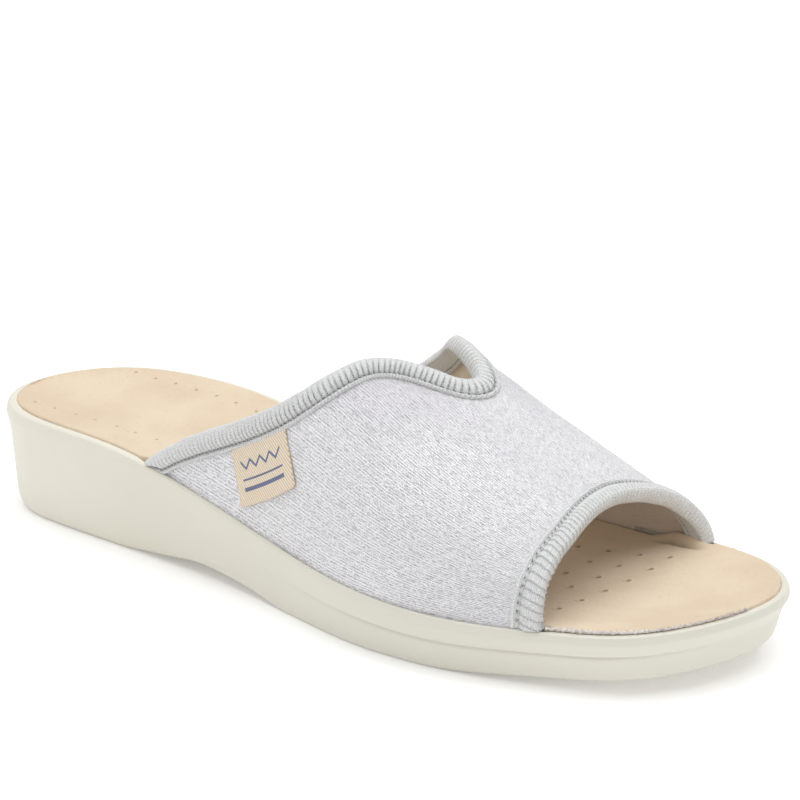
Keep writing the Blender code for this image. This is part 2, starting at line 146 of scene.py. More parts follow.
def fadeIn(x, start, reach):
    return np.clip((x - start) / reach, 0, 1)


def evenly(chain, count):
    along = lengthsAlong(chain)
    at = np.linspace(0, along[-1], count + 1)
    return np.column_stack([np.interp(at, along, chain[:, k]) for k in range(chain.shape[1])])


def soleOutline():
    lateral = list(zip(last["x"], last["lateral"]))
    medial = list(zip(last["x"], last["medial"]))[::-1]
    dense = closedCurve(np.array([last["heelBack"], *lateral, last["toeTip"], *medial], float), 60)
    dense = np.roll(dense, -dense[:, 0].argmin(), axis=0)
    toe = dense[:, 0].argmax()
    outer = evenly(dense[: toe + 1], last["half"])
    inner = evenly(np.vstack([dense[toe:], dense[:1]]), last["half"])
    return np.vstack([outer[:-1], inner[:-1]])


outline = soleOutline()
centre = np.array([*((outline.min(axis=0) - (last["swell"], 0) + outline.max(axis=0)) / 2), 0.0])
rimHeight = curveThrough(last["rimX"], last["rim"])
groundHeight = levelCurve(last["groundX"], last["groundZ"])
dishDepth = curveThrough(last["dishX"], last["dish"])


def inward(inset):
    along = np.roll(outline, -1, axis=0) - np.roll(outline, 1, axis=0)
    normal = np.column_stack([-along[:, 1], along[:, 0]])
    normal /= np.linalg.norm(normal, axis=1)[:, None]
    return outline + normal * np.broadcast_to(inset, len(outline))[:, None]


def besideUpper(ends, sides):  # an inset of one size along the upper and another beyond it
    x, steps = outline[:, 0], (ends, sides, sides, ends)
    lateral, medial = (np.interp(x, last[key], steps) for key in ("lateralEnds", "medialEnds"))
    return np.where(np.arange(len(outline)) > last["half"], medial, lateral)


def softNoise(points, size, seed):  # soft waves, mostly from -1 to 1, in one, two or three directions
    rng = np.random.default_rng(seed)
    points = np.asarray(points, float).reshape(len(points), -1) / size
    total = np.zeros(len(points))
    for _ in range(10):
        heading = rng.normal(size=points.shape[1])
        heading *= rng.uniform(2.0, 5.5) / np.linalg.norm(heading)
        total += np.sin(points @ heading + rng.uniform(0, 6.28))
    return total / 4.0


def quadsOf(index):
    corners = index[:-1, :-1], index[:-1, 1:], index[1:, 1:], index[1:, :-1]
    return np.stack(corners, axis=-1).reshape(-1, 4).tolist()


def gridFaces(rows, columns, closed=False):
    index = np.arange(rows * columns).reshape(rows, columns)
    return quadsOf(np.column_stack([index, index[:, :1]]) if closed else index)


def circleOf(first, second, sides):  # unit circles in the planes of two lists of directions
    turn = np.linspace(0, 2 * math.pi, sides, endpoint=False)
    return np.cos(turn)[None, :, None] * first[:, None] + np.sin(turn)[None, :, None] * second[:, None]


def tubeFaces(rows, sides):
    ends = [tuple(range(sides)), tuple(range((rows - 1) * sides, rows * sides))]
    return gridFaces(rows, sides, closed=True) + ends


def joined(meshes):  # several lists of points and faces as one
    points, faces, base = [], [], 0
    for somePoints, someFaces in meshes:
        points.append(somePoints)
        faces += [[base + v for v in face] for face in someFaces]
        base += len(somePoints)
    return np.vstack(points), faces


def addObject(name, data):
    thing = bpy.data.objects.new(name, data)
    bpy.context.scene.collection.objects.link(thing)
    return thing


def makePiece(name, points, faces, material, replaced, slot, cloth=None, marks=None):
    mesh = bpy.data.meshes.new(name)
    mesh.from_pydata(((np.asarray(points) - centre) * mm).tolist(), [], faces)
    if cloth is not None:
        layer = mesh.uv_layers.new(name="cloth")
        corner = np.zeros(len(mesh.loops), int)
        mesh.loops.foreach_get("vertex_index", corner)
        layer.uv.foreach_set("vector", np.asarray(cloth, float)[corner].ravel())
    for mark, values in (marks or {}).items():
        mesh.attributes.new(mark, "FLOAT", "POINT").data.foreach_set("value", np.asarray(values, float))
    sew = bmesh.new()
    sew.from_mesh(mesh)
    bmesh.ops.recalc_face_normals(sew, faces=sew.faces)
    sew.to_mesh(mesh)
    sew.free()
    mesh.shade_smooth()
    mesh.materials.append(material)
    piece = addObject(name, mesh)
    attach(piece, "root")
    if replaced:
        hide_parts(replaced)
    return piece


# shader helpers

def linear(*tone):  # an 8-bit screen colour as shader values
    return (*((t / 255 / 12.92) if t <= 10 else ((t / 255 + 0.055) / 1.055) ** 2.4 for t in tone), 1.0)


def addNode(tree, kind, inputs=None, **settings):
    node = tree.nodes.new(kind)
    for key, value in settings.items():
        setattr(node, key, value)
    for key, value in (inputs or {}).items():
        if isinstance(value, bpy.types.NodeSocket):
            tree.links.new(value, node.inputs[key])
        else:
            node.inputs[key].default_value = value
    return node


def calc(tree, operation, a, b=0.0, clamp=False):
    return addNode(tree, "ShaderNodeMath", {0: a, 1: b}, operation=operation, use_clamp=clamp).outputs[0]


def ramp(tree, value, low, high, toLow=0.0, toHigh=1.0):
    inputs = {"Value": value, "From Min": low, "From Max": high, "To Min": toLow, "To Max": toHigh}
    return addNode(tree, "ShaderNodeMapRange", inputs, interpolation_type="SMOOTHSTEP").outputs["Result"]


def mixColour(tree, factor, a, b, blend="MIX"):
    inputs = {0: factor, 6: a, 7: b}
    return addNode(tree, "ShaderNodeMix", inputs, data_type="RGBA", blend_type=blend).outputs[2]


def noiseAt(tree, vector, scale, detail=2.0, roughness=0.5, dimensions="3D"):
    inputs = {"Vector": vector, "Scale": scale, "Detail": detail, "Roughness": roughness}
    return addNode(tree, "ShaderNodeTexNoise", inputs, noise_dimensions=dimensions).outputs["Fac"]


def splitXYZ(tree, vector):
    return addNode(tree, "ShaderNodeSeparateXYZ", {0: vector}).outputs


def newGroup(name, sizes, results):  # an effect that reads a place and some sizes
    tree = bpy.data.node_groups.new(name, "ShaderNodeTree")
    tree.interface.new_socket("Place", in_out="INPUT", socket_type="NodeSocketVector")
    for inOut, labels in (("INPUT", sizes), ("OUTPUT", results)):
        for label in labels:
            tree.interface.new_socket(label, in_out=inOut, socket_type="NodeSocketFloat")
    return tree, tree.nodes.new("NodeGroupInput").outputs, tree.nodes.new("NodeGroupOutput").inputs


def useGroup(tree, group, **inputs):
    return addNode(tree, "ShaderNodeGroup", inputs, node_tree=group).outputs


def makeCrepe():  # pale cloth with fine broken gaps running along it, and finer yarns across; the gaps are partly the weave's pattern and partly painted shade, the ridges between them painted highlights
    tree, given, out = newGroup("crepe", ("Pitch", "Dash", "Waver"), ("Height", "Gap", "Grain"))
    lengths = splitXYZ(tree, given["Place"])

    def over(*sizes):  # the cloth's two lengths, each counted in one of the weave's own sizes
        return [calc(tree, "DIVIDE", length, given[size]) for length, size in zip(lengths, sizes)]

    def spot(u, v):
        return addNode(tree, "ShaderNodeCombineXYZ", {0: u, 1: v}).outputs[0]

    def plus(a, b, share):
        return calc(tree, "ADD", a, calc(tree, "MULTIPLY", b, share))

    counted, layers = over("Dash", "Pitch"), []
    for stretch, offset, strength in ((1.0, 0.0, 1.0), (0.77, 31.7, 0.8)):  # two sets of yarns
        u, v = (plus(offset, length, stretch) for length in counted)
        sway = calc(tree, "SUBTRACT", noiseAt(tree, spot(u, v), 0.5, 1.0, 0.5, "2D"), 0.5)
        wave = calc(tree, "SINE", calc(tree, "MULTIPLY", plus(v, sway, given["Waver"]), 2 * math.pi))
        broken = ramp(tree, noiseAt(tree, spot(u, v), 1.5, 1.5, 0.55, "2D"), 0.38, 0.66, 0.0, strength)
        gap, crest = ramp(tree, wave, 0.7, 1.0), ramp(tree, wave, 0.1, -0.6)
        layers.append([calc(tree, "MULTIPLY", kept, broken) for kept in (gap, crest)])
    gaps, ridgeHighlights = (calc(tree, "MAXIMUM", *pair) for pair in zip(*layers))
    yarns = noiseAt(tree, spot(*over("Pitch", "Dash")), 2.6, 1.0, 0.5, "2D")
    fine = noiseAt(tree, given["Place"], 3.2, 2.0, 0.65, "2D")
    grain = plus(calc(tree, "MULTIPLY", yarns, 0.5), fine, 0.5)
    # painted highlights: the ridges between the gaps are lighter in the grain
    raised = plus(grain, ridgeHighlights, 0.16)
    tree.links.new(calc(tree, "SUBTRACT", raised, gaps), out["Height"])
    tree.links.new(gaps, out["Gap"])
    tree.links.new(ramp(tree, raised, 0.34, 0.74), out["Grain"])
    return tree


def makeMottle():  # slow and quick unevenness of one finish
    tree, given, out = newGroup("mottle", ("Cloud", "Grain"), ("Cloud", "Grain"))
    for name, roughness in (("Cloud", 0.55), ("Grain", 0.6)):
        tree.links.new(noiseAt(tree, given["Place"], given[name], 3.0, roughness), out[name])
    return tree


crepe, mottle = makeCrepe(), makeMottle()


def mottled(tree, cloud, grain, low, high):  # two tones in soft clouds, and the finer grain
    uneven = useGroup(tree, mottle, Place=placeOf(tree), Cloud=cloud, Grain=grain)
    return mixColour(tree, ramp(tree, uneven["Cloud"], 0.3, 0.7), low, high), uneven["Grain"]


def woven(tree, pitch, dash, low, high):  # two tones in the yarns with painted highlights on their ridges, and the rest of the weave
    weave = useGroup(tree, crepe, Place=clothOf(tree), Pitch=pitch, Dash=dash, Waver=0.6)
    return mixColour(tree, weave["Grain"], low, high), weave


def newFinish(name, roughness, **sockets):
    material = bpy.data.materials.new(name)
    material.use_nodes = True
    tree = material.node_tree
    shader = tree.nodes["Principled BSDF"]
    shader.inputs["Roughness"].default_value = roughness
    for key, value in sockets.items():
        shader.inputs[key.replace("_", " ")].default_value = value
    return material, tree, shader


def placeOf(tree):
    return addNode(tree, "ShaderNodeTexCoord").outputs["Object"]


def clothOf(tree):
    return addNode(tree, "ShaderNodeUVMap", uv_map="cloth").outputs[0]


def markOf(tree, name):
    return addNode(tree, "ShaderNodeAttribute", attribute_name=name).outputs["Fac"]


def dress(tree, shader, tone, height, distance, strength):  # the colour, and the bump that goes with it
    tree.links.new(tone, shader.inputs["Base Color"])
    bump = addNode(tree, "ShaderNodeBump", {"Height": height, "Distance": distance, "Strength": strength})
    tree.links.new(bump.outputs[0], shader.inputs["Normal"])


print("scene: last and shader groups ready")


# sole: one moulded wedge, creased round the forefoot, its rim rounded at heel and toe
soleShape = {
    "share": (0.00, 0.04, 0.12, 0.34, 0.50, 0.55, 0.58, 0.74, 0.84, 0.90, 0.97),
    "back": (3.6, 2.1, 1.15, 0.7, 0.45, 0.3, 0.25, 0.0, -0.6, -1.0, -0.5),
    "heel": (4.9, 3.7, 2.8, 1.7, 1.1, 0.95, 0.85, 0.5, 0.3, 0.15, 0.2),
    "waist": (3.2, 2.4, 2.0, 1.5, 1.3, 1.2, 1.1, 0.6, 0.2, 0.0, 0.2),
    "forefoot": (5.0, 4.1, 3.6, 2.7, 2.0, 2.2, 1.4, 0.4, 0.0, 0.1, 0.4),
    "toe": (5.0, 4.1, 3.6, 2.7, 2.1, 1.9, 1.7, 0.6, 0.0, 0.1, 0.4),
    "blend": ("back", "heel", "heel", "waist", "forefoot", "forefoot", "toe"),
    "blendX": (5.0, 26.0, 62.0, 112.0, 165.0, 226.0, 247.0),
    "bedEnds": 2.3,
    "bedSides": 1.5,
    "bedDepth": 2.8,
    "crest": 0.3,  # the flat top of the rim
    "bedStrips": 40,
    "groundStrips": 90,
    "span": 80.0,  # about its width, to turn shares across it into lengths
    "treadPads": ((14.0, 66.0), (140.0, 222.0)),  # under the heel and the ball
    "treadEdge": 7.0,
    "treadDepth": 0.9,
    "treadPitch": 7.0,
    "treadSway": (1.6, 4.2),
    "tone": linear(228, 224, 211),
    "toneLow": linear(222, 218, 204),
    # painted shade: the sole darker towards the toe
    "toneFrontShade": linear(219, 216, 204),
}


def finishSole():
    material, tree, shader = newFinish("sole", 0.42, Specular_IOR_Level=0.4)
    tone, grain = mottled(tree, 22.0, 1400.0, soleShape["toneLow"], soleShape["tone"])
    # painted shade, growing towards the toe
    forward = ramp(tree, splitXYZ(tree, placeOf(tree))[0], -0.09, 0.05)
    tone = mixColour(tree, forward, tone, soleShape["toneFrontShade"])
    tree.links.new(ramp(tree, grain, 0.3, 0.7, 0.36, 0.5), shader.inputs["Roughness"])
    dress(tree, shader, tone, grain, 0.00005, 0.5)
    return material


def capGrid(plan, across, height):  # strips from each lateral point to the medial one facing it
    half = last["half"]
    lateral, medial = plan[1:half], plan[:half:-1]
    share = np.linspace(0, 1, across + 1)[1:-1]
    spots = lateral[:, None, :] + (medial - lateral)[:, None, :] * share[None, :, None]
    z = height(spots[..., 0], spots[..., 1], np.broadcast_to(share, spots.shape[:2]))
    return np.concatenate([spots, z[..., None]], axis=-1)


def capFaces(ringStart, inner, innerStart):
    half, count = last["half"], len(outline)
    rows, columns = inner.shape[:2]
    index = innerStart + np.arange(rows * columns).reshape(rows, columns)
    near = ringStart + np.arange(1, half)[:, None]
    far = ringStart + count - np.arange(1, half)[:, None]
    index = np.hstack([near, index, far])
    faces = quadsOf(index)
    for tip, row in ((ringStart, index[0]), (ringStart + half, index[-1])):
        faces += [(tip, int(a), int(b)) for a, b in zip(row, row[1:])]
    return faces


def closeBody(rings, below, above):  # stacked rings with a cap under the first and one on the last
    count, size = len(outline), len(rings) * len(outline)
    points = np.vstack([*rings, below.reshape(-1, 3), above.reshape(-1, 3)])
    faces = gridFaces(len(rings), count, closed=True) + capFaces(0, below, size)
    return points, faces + capFaces(size - count, above, size + below[..., 0].size)


def bedHeight(x, share):
    return rimHeight(x) - soleShape["bedDepth"] - dishDepth(x) * 4 * share * (1 - share)


def treadDepth(x, y, share):  # shallow waved grooves under the heel and the ball
    held = fadeIn(np.minimum(share, 1 - share) * soleShape["span"], soleShape["treadEdge"], 2)
    pads = sum(fadeIn(x, back, 3) * fadeIn(-x, -front, 3) for back, front in soleShape["treadPads"])
    sway, swayLength = soleShape["treadSway"]
    wave = np.cos((x + sway * np.sin(y / swayLength)) * 2 * np.pi / soleShape["treadPitch"])
    return soleShape["treadDepth"] * held * pads * fadeIn(wave, 0.1, 0.8)


def buildSole():
    steps = ((0, 0.16, 10), (0.16, 0.42, 7), (0.42, 0.62, 17), (0.62, 0.8, 6), (0.8, 0.97, 9))
    shares = np.unique(np.concatenate([np.linspace(*step) for step in steps]))  # finer at the creases
    columns = [levelCurve(soleShape["share"], soleShape[part]) for part in soleShape["blend"]]
    rim, ground = rimHeight(outline[:, 0]), groundHeight(outline[:, 0])
    rings = []
    for share in shares:
        insets = [float(column(share)) for column in columns]
        inset = np.interp(outline[:, 0], soleShape["blendX"], insets)
        plan = inward(inset)
        z = groundHeight(plan[:, 0]) if share == 0 else ground + (rim - ground) * share
        rings.append(np.column_stack([plan, z]))
    under = rings[0][:, :2]
    bedInset = besideUpper(soleShape["bedEnds"], soleShape["bedSides"])
    crest = bedInset - soleShape["crest"]
    for turn in np.linspace(0, math.pi / 2, 7)[1:]:
        rise = shares[-1] + (1 - shares[-1]) * math.sin(turn)
        plan = inward(inset + (crest - inset) * (1 - math.cos(turn)))
        rings.append(np.column_stack([plan, ground + (rim - ground) * rise]))
    bed = inward(bedInset)
    for z in (rimHeight(bed[:, 0]) - 0.1, bedHeight(bed[:, 0], 0.0)):
        rings.append(np.column_stack([bed, z]))

    def tread(x, y, share):
        return groundHeight(x) + treadDepth(x, y, share)

    below = capGrid(under, soleShape["groundStrips"], tread)
    above = capGrid(bed, soleShape["bedStrips"], lambda x, y, share: bedHeight(x, share))
    makePiece("moulded_sole", *closeBody(rings, below, above), finishSole(), "sole", "sole")


buildSole()
print("scene: sole moulded")


# insole: a suede-like cover, pinholed, its far edge turned up at the toe
footbed = {
    "gap": 0.3,
    "thickness": 3.0,
    "ends": 2.5,
    "heelEnd": 1.9,  # nearer the rim round the back of the heel
    "heelX": (4.0, 16.0),
    "sides": 4.2,
    "strips": 100,
    "bedStrips": 12,
    "span": 72.0,  # about its width, to turn shares across it into lengths
    "edge": ((0.0, 0.0), (0.45, 0.0), (0.75, 0.06), (0.9, 0.22), (0.97, 0.45), (1.0, 0.8)),  # rise, inset
    "toeLift": (0.45, 16.0),  # the free edge stands a little proud of the rim: height and width
    "toeLiftX": (203.0, 12.0),
    "fray": (0.06, 0.12),  # how uneven the edge is all round, and how much more at the toe
    "frayX": (205.0, 8.0),
    "close": 0.32,  # how far it covers the rim's inner edge where it isn't frayed
    "closeX": (213.0, 4.0),
    "sink": (1.6, 9.0),  # how far the medial edge lies lower along the upper's wall, and width
    "sinkX": (140.0, 170.0, 192.0, 201.0),
    "curl": (1.4, 1.9),  # and stands up under the end of the toe binding
    "curlX": (193.0, 200.0, 205.0, 213.0),
    "valley": (1.7, 3.0, 1.0),  # depth, place inside the edge and width
    "toeHole": (0.68, 1.8),  # radius and depth
    "heelHole": (0.40, 0.55),
    "holeRim": (0.13, 1.6, 0.4),  # height in depths, place and width in radii
    "holeReach": 1.9,  # how far round a hole the faces are made finer
    "toeRowsX": (155.0, 206.5, 8.6),
    "toeRowsY": (-21.0, 24.0, 8.8),
    "toeFanY": 8.0,
    "toeFan": 0.1,  # the rows spread towards the lateral side
    "toeStagger": 0.14,  # and start further back there
    "toeSlant": 0.2,  # they drift to that side on their way back
    "heelRowsX": (13.0, 74.0, 7.65),
    "heelRowsY": (-13.5, 21.5),
    "scatter": 0.35,
    "tone": linear(222, 204, 179),
    "toneDark": linear(212, 192, 165),
    "speckTone": linear(196, 170, 134),
    # painted shade inside the pinholes and along the crease by the turned-up edge
    "holeShadeTone": linear(22, 15, 9),
}


def pinholes():
    spots = []
    toeX, toeY = footbed["toeRowsX"], footbed["toeRowsY"]
    for y in np.arange(*toeY):
        near = max(0.0, footbed["toeFanY"] - y)
        start, step = toeX[1] - near * footbed["toeStagger"], -toeX[2] - near * footbed["toeFan"]
        for x in np.arange(start, toeX[0], step):
            spots.append((x, y + footbed["toeSlant"] * (x - toeX[1]), *footbed["toeHole"]))
    for y in footbed["heelRowsY"]:
        for x in np.arange(*footbed["heelRowsX"]):
            spots.append((x, y, *footbed["heelHole"]))
    spots = np.array(spots)
    spots[:, :2] += chance.uniform(-footbed["scatter"], footbed["scatter"], (len(spots), 2))
    return spots


def creaseAt(inside):
    _, place, width = footbed["valley"]
    return bell((inside - place) / width)


def footbedRise(x, share):  # the turned-up medial edge at the toe, and the trough beside it
    inside, edge = (1 - share) * footbed["span"], np.minimum(share, 1 - share) * footbed["span"]
    curled, sunk = (np.interp(x, footbed[key], (0, 1, 1, 0)) for key in ("curlX", "sinkX"))
    forms = (("curl", inside), ("sink", inside), ("toeLift", edge))
    curl, sink, proud = (footbed[key][0] * bell(off / footbed[key][1]) for key, off in forms)
    valley = footbed["valley"][0] * creaseAt(inside)
    return curled * (curl - valley) - sunk * sink + proud * fadeIn(x, *footbed["toeLiftX"])


def finishFootbed():
    material, tree, shader = newFinish("insole", 0.85, Sheen_Weight=0.15, Sheen_Roughness=0.6)
    tone, grain = mottled(tree, 35.0, 700.0, footbed["toneDark"], footbed["tone"])
    tone = mixColour(tree, ramp(tree, grain, 0.28, 0.42, 0.35, 0.0), tone, footbed["speckTone"])
    # painted shade in the pinholes and the crease
    tone = mixColour(tree, markOf(tree, "hole"), tone, footbed["holeShadeTone"])
    dress(tree, shader, tone, grain, 0.00025, 0.6)
    return material


def buildFootbed():
    x = outline[:, 0]
    along = lengthsAlong(np.vstack([outline, outline[:1]]))[:-1]
    inset = besideUpper(footbed["ends"], footbed["sides"])
    inset = np.maximum(inset + np.interp(x, footbed["heelX"], (footbed["heelEnd"] - footbed["ends"], 0)), 0)
    even, more = footbed["fray"]
    frayed = even + more * fadeIn(x, *footbed["frayX"])
    inset = inset + frayed * (softNoise(along, 1.1, 3) + softNoise(along, 3.5, 4))
    inset = inset - footbed["close"] * (along > along[frayEnd()]) * fadeIn(x, *footbed["closeX"])
    side = (np.arange(len(x)) > last["half"]).astype(float)
    lift = footbed["gap"] + footbed["thickness"]
    rings = []
    for rise, draw in footbed["edge"]:
        plan = inward(inset + draw)
        z = bedHeight(plan[:, 0], 0.0) + footbed["gap"] + footbed["thickness"] * rise
        rings.append(np.column_stack([plan, z + footbedRise(plan[:, 0], side) * rise]))

    def underside(x, _, share):
        return bedHeight(x, share) + footbed["gap"]

    def surface(x, _, share):
        return bedHeight(x, share) + lift + footbedRise(x, share)

    below = capGrid(rings[0][:, :2], footbed["bedStrips"], underside)
    above = capGrid(rings[-1][:, :2], footbed["strips"], surface)
    points, faces, hole = pierce(*closeBody(rings, below, above), pinholes(), lift)
    inner = rings[-1][last["half"] :][::-1]
    inside = np.interp(points[:, 0], inner[:, 0], inner[:, 1]) - points[:, 1]
    # painted shade along the trough inside the turned-up edge
    crease = 0.5 * creaseAt(inside) * np.interp(points[:, 0], footbed["curlX"], (0, 1, 1, 0))
    marks = {"hole": np.maximum(hole, crease)}
    makePiece("footbed", points, faces, finishFootbed(), "insole", "insole", marks=marks)


def pierce(points, faces, spots, lift):  # finer faces round each hole, then the holes are pressed in; the last result is the painted shade inside them
    work = bmesh.new()
    verts = [work.verts.new(p) for p in points]
    for face in faces:
        work.faces.new([verts[i] for i in face])
    for _ in range(3):
        near = []
        for face in work.faces:
            c = face.calc_center_median()
            if c.z < bedHeight(c.x, 0.5) + lift - 1.5 or len(face.verts) != 4:
                continue
            if np.hypot(spots[:, 0] - c.x, spots[:, 1] - c.y).min() < footbed["holeReach"]:
                near.append(face)
        edges = list({edge for face in near for edge in face.edges})
        bmesh.ops.subdivide_edges(work, edges=edges, cuts=1, use_grid_fill=True)
    bmesh.ops.triangulate(work, faces=[f for f in work.faces if len(f.verts) > 4])
    out = np.array([v.co[:] for v in work.verts])
    top = out[:, 2] > bedHeight(out[:, 0], 0.5) + lift - 0.6
    reach = np.hypot(out[:, None, 0] - spots[None, :, 0], out[:, None, 1] - spots[None, :, 1])
    radius, depth = spots[reach.argmin(axis=1), 2:].T
    reach = reach.min(axis=1) / radius
    press = np.exp(-(reach**6)) * top
    rim, place, width = footbed["holeRim"]
    out[:, 2] -= depth * press - rim * depth * bell((reach - place) / width) * top
    work.verts.index_update()
    faces = [tuple(v.index for v in face.verts) for face in work.faces]
    work.free()
    return out, faces, press * depth / footbed["toeHole"][1]


# backing: the insole's frayed underside, showing round the toe and along the far wall
backing = {
    "toeX": (208.5, 250.2),
    "toeInset": 2.25,
    "toeLevel": 0.62,  # above the rim
    "wallX": (184.0, 203.0),
    "wallInset": 4.3,
    "wallLevel": -0.7,
    "step": 0.3,
    "radius": (0.40, 0.13),  # round the toe and along the wall
    "sides": 7,
    "thinX": (232.0, 248.0),  # it thins out towards the tip
    "lumps": ((0.16, 1.3), (0.12, 1.0), (0.45, 0.8)),  # sideways, upwards, in thickness: how far, how long
    "fibres": (760, 420),
    "fibreLean": (0.1, 1.0),  # how far they point outwards, upwards and along
    "fibreRise": (-0.25, 0.8),
    "fibreDrift": 0.9,
    "fibreBend": 0.35,
    "fibreLength": (0.45, 1.35),
    "fibreRadius": 0.055,
    "fibreSides": 3,
    "tone": linear(234, 228, 223),
    "toneLow": linear(212, 205, 202),
}


def frayEnd():  # the outline point, short of the toe's tip, where the fraying ends
    return np.argmax(outline[:, 0] > backing["toeX"][1])


def finishBacking():
    material, tree, shader = newFinish("frayed_backing", 0.95, Sheen_Weight=0.2, Sheen_Roughness=0.6)
    tone, grain = mottled(tree, 160.0, 1300.0, backing["toneLow"], backing["tone"])
    dress(tree, shader, tone, grain, 0.0002, 0.8)
    return material


def beadAlong(path, radius, rng):  # a lumpy cord of felted yarn
    s, seeds = lengthsAlong(path), rng.integers(1, 999, 3)
    lumps = (far * softNoise(s, size, seed) for (far, size), seed in zip(backing["lumps"], seeds))
    sideways, upwards, thicker = lumps
    side = unit(np.cross([0, 0, 1], unit(np.gradient(path, axis=0))))
    spine = path + side * sideways[:, None]
    spine[:, 2] += upwards
    thick = radius * (1 + thicker)
    thick[[0, -1]] *= 0.3
    ring = circleOf(side, np.broadcast_to([0, 0, 1.0], side.shape), backing["sides"])
    points = spine[:, None, :] + thick[:, None, None] * ring
    return points.reshape(-1, 3), tubeFaces(len(path), backing["sides"])


def fibresAlong(path, count, rng):  # short stray ends that stand off the cord
    k = rng.integers(2, len(path) - 2, count)
    heading = unit(path[k + 1] - path[k - 1])
    out = unit(np.cross(heading, [0, 0, 1]))
    lean, rise = (rng.uniform(*backing[key], (count, 1)) for key in ("fibreLean", "fibreRise"))
    drift = rng.normal(0, backing["fibreDrift"], (count, 1))
    aim = unit(out * lean + np.array([0, 0, 1.0]) * rise + heading * drift)
    length = rng.uniform(*backing["fibreLength"], count)
    bend = rng.normal(0, backing["fibreBend"], (count, 3))
    at = np.linspace(0, 1, 4)
    way = aim[:, None] * at[None, :, None] + bend[:, None] * at[None, :, None] ** 2
    spine = path[k][:, None] + rng.normal(0, 0.1, (count, 1, 3)) + length[:, None, None] * way
    first = unit(np.cross(aim, [0.3, 0.2, 1.0]))
    ring = circleOf(first, np.cross(aim, first), backing["fibreSides"])
    thick = backing["fibreRadius"] * (1 - 0.6 * at)
    points = spine[:, :, None] + thick[None, :, None, None] * ring[:, None]
    faces = tubeFaces(len(at), backing["fibreSides"])
    return joined([(fibre.reshape(-1, 3), faces) for fibre in points])


def buildBacking():
    rng = np.random.default_rng(19)
    x, half = outline[:, 0], last["half"]
    front = np.arange(np.argmax(x > backing["toeX"][0]), frayEnd())
    wall = half + np.flatnonzero((x[half:] > backing["wallX"][0]) & (x[half:] < backing["wallX"][1]))
    meshes = []
    for i, (picked, run) in enumerate(((front, "toe"), (wall, "wall"))):
        plan = inward(backing[run + "Inset"])[picked]
        path = np.column_stack([plan, rimHeight(plan[:, 0]) + backing[run + "Level"]])
        path = evenly(path, int(lengthsAlong(path)[-1] / backing["step"]))
        radius = backing["radius"][i] * np.interp(path[:, 0], backing["thinX"], (1.0, 0.4))
        meshes += [beadAlong(path, radius, rng), fibresAlong(path, backing["fibres"][i], rng)]
    makePiece("frayed_backing", *joined(meshes), finishBacking(), None, "insole")


buildFootbed()
buildBacking()
print("scene: insole laid")


# upper: the vamp's cloth over its lining, laid on one surface
vamp = {
    "inset": 1.6,
    "wall": 2.0,
    "x": (60, 100, 135, 165, 190, 215),
    "crown": (92.0, 84.5, 74.2, 58.4, 44.8, 32.5),
    "ridge": (5.0, 4.8, 4.4, 3.2, 1.8, 0.8),
    "lateralFull": (0.68, 0.68, 0.68, 0.68, 0.68, 0.68),
    "medialFull": (0.54, 0.55, 0.56, 0.58, 0.60, 0.61),
    "collarAcross": (0, 0.10, 0.22, 0.36, 0.50, 0.63, 0.75, 0.86, 0.94, 1.0),
    "collarLateral": (69.0, 82.8, 101.0, 117.8, 127.8, 133.8, 139.2, 148.3, 156.9, 158.9),
    "collarMedial": (77.0, 90.5, 107.5, 122.0, 131.8, 137.7, 143.4, 151.6, 156.9, 158.9),
    "collarBand": (3.0, 3.9, 4.4, 4.5, 4.4, 4.1, 3.7, 3.7, 4.0, 4.0),  # how far the tape runs in
    "toeAcross": (0, 0.25, 0.5, 0.75, 1.0),
    "toeLateral": (207.0, 206.3, 205.2, 203.8, 201.5),
    "toeMedial": (210.2, 207.8, 205.0, 202.9, 201.5),
    "toeBand": (4.4, 4.0, 3.5, 3.3, 3.4),
    "cloth": 1.0,
    "gap": 0.1,  # between it and the lining
    "spare": 0.2,  # how far the sheets stop short of the openings' edges
    "tuck": (2.3, 1.2),  # the two rows below the rim
    "waves": 0.16,
    "waveSize": 17.0,
    "girthX": 165.0,  # where lengths across the cloth are measured
    "grid": (230, 150),
    "liningGrid": (110, 80),
    "tone": linear(252, 251, 253),
    "toneGrain": linear(214, 213, 216),
    # the gaps' tone, partly the weave's pattern and partly painted shade
    "toneGapShade": linear(142, 141, 145),
    "toneCloud": linear(226, 222, 230),
    "collarShade": (5.0, 32.0),  # how far from the collar's edge painted shade darkens the cloth
    "collarShadeAcross": (0.05, 0.20, 0.40, 0.60),  # on both sides of the ridge
    # the tone of the painted shade below the collar
    "toneCollarShade": linear(239, 238, 240),
    "liningTone": linear(235, 223, 211),
    "liningLow": linear(218, 204, 190),
    "liningPaintedLight": linear(254, 248, 236),  # painted light: paler behind the notch
}


footLine = inward(vamp["inset"])
lateralFoot = curveThrough(*footLine[: last["half"] + 1][10:-10:4].T)
medialFoot = curveThrough(*np.vstack([footLine[last["half"] :], footLine[:1]])[::-1][10:-10:4].T)
crownHeight, ridgeY, lateralFull, medialFull = (
    curveThrough(vamp["x"], vamp[key]) for key in ("crown", "ridge", "lateralFull", "medialFull")
)


def edgeLine(edge, lateral, medial):
    across = vamp[edge + "Across"]
    us = [*across, *(2 - a for a in across[-2::-1])]
    return curveThrough(us, [*vamp[edge + lateral], *vamp[edge + medial][-2::-1]])


collarX, toeX = (edgeLine(edge, "Lateral", "Medial") for edge in ("collar", "toe"))
collarBand, toeBand = (edgeLine(edge, "Band", "Band") for edge in ("collar", "toe"))


